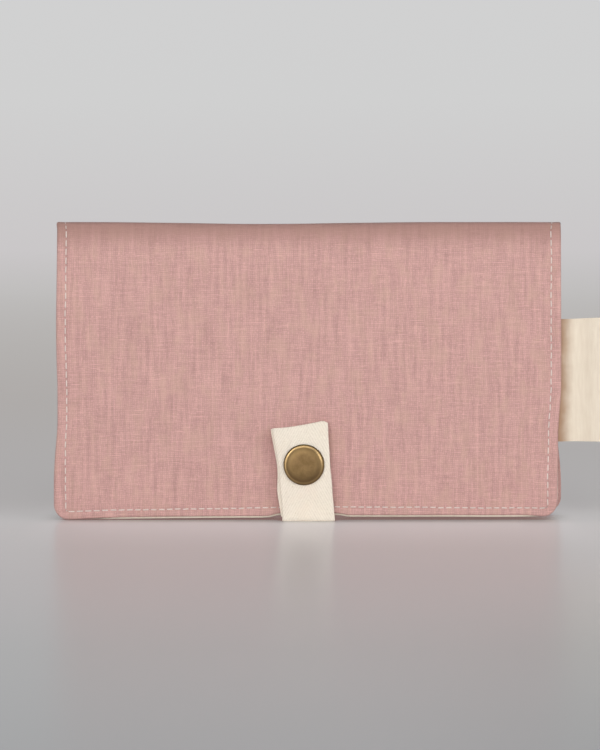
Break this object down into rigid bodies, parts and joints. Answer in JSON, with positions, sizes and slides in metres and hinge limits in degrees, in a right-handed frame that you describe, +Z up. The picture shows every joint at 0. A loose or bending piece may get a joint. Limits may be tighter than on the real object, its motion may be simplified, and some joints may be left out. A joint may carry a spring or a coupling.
{
  "type": "travel document cover",
  "caption": "Folding fabric cover for travel documents, with inner pockets, a sewn-in label and a tape strap closed by a press stud, standing on its open edge.",
  "frame": {"origin": "middle of the strap's underside, on the surface that the cover stands on", "axes": "+X along the fold to the label's side, +Y from the front panel to the back panel, +Z up from the open edge to the fold"},
  "size_m": [0.238, 0.027, 0.1247],
  "materials": {
    "linen": "matt slubby plain weave",
    "cotton": "matt plain weave",
    "fleece": "matt bonded fleece",
    "thread": "matt sewing thread",
    "tape": "matt herringbone twill tape",
    "ribbon": "matt woven ribbon",
    "brass": "aged satin brass"
  },
  "bodies": {
    "back_cover": {"back_outer_fabric": "linen", "back_stiffener": "fleece", "back_lining": "cotton", "back_seam": "thread", "ticket_pocket": "cotton", "card_pocket": "cotton", "strap_anchor": "tape", "strap_anchor_seam": "thread"},
    "fold": {"fold_outer_fabric": "linen", "fold_padding": "fleece", "fold_lining": "cotton", "fold_seam_left": "thread", "fold_seam_right": "thread"},
    "front_cover": {"front_outer_fabric": "linen", "front_stiffener": "fleece", "front_lining": "cotton", "front_seam": "thread", "passport_pocket": "cotton", "snap_stud": "brass", "snap_post": "brass", "label_root": "ribbon"},
    "strap_run": {"strap_underpass": "tape"},
    "strap_front": {"strap_inner_ply": "tape", "strap_outer_ply": "tape", "snap_cap": "brass", "snap_socket": "brass", "snap_spring": "brass"},
    "label_end": {"label": "ribbon"}
  },
  "joints": [
    {"name": "fold_turn", "type": "hinge", "parent": "back_cover", "child": "fold", "pos_m": [0, 0.004, 0.124], "axis": [-1, 0, 0], "range_deg": [0, 87.69]},
    {"name": "cover_turn", "type": "hinge", "parent": "fold", "child": "front_cover", "pos_m": [0, -0.004, 0.124], "axis": [-1, 0, 0], "range_deg": [0, 87.69]},
    {"name": "strap_run_turn", "type": "hinge", "parent": "back_cover", "child": "strap_run", "pos_m": [0, 0.01072, 0.0008], "axis": [1, 0, 0], "range_deg": [0, 90]},
    {"name": "strap_front_turn", "type": "hinge", "parent": "strap_run", "child": "strap_front", "pos_m": [0, -0.01347, 0.0008], "axis": [1, 0, 0], "range_deg": [0, 90]},
    {"name": "label_bend", "type": "hinge", "parent": "front_cover", "child": "label_end", "pos_m": [0.1056, -0.00519, 0.05839], "axis": [0, 0.0403, 0.9992], "range_deg": [-75, 75]}
  ],
  "couplings": [
    {"joint": "cover_turn", "follows": "fold_turn", "ratio": 1}
  ]
}
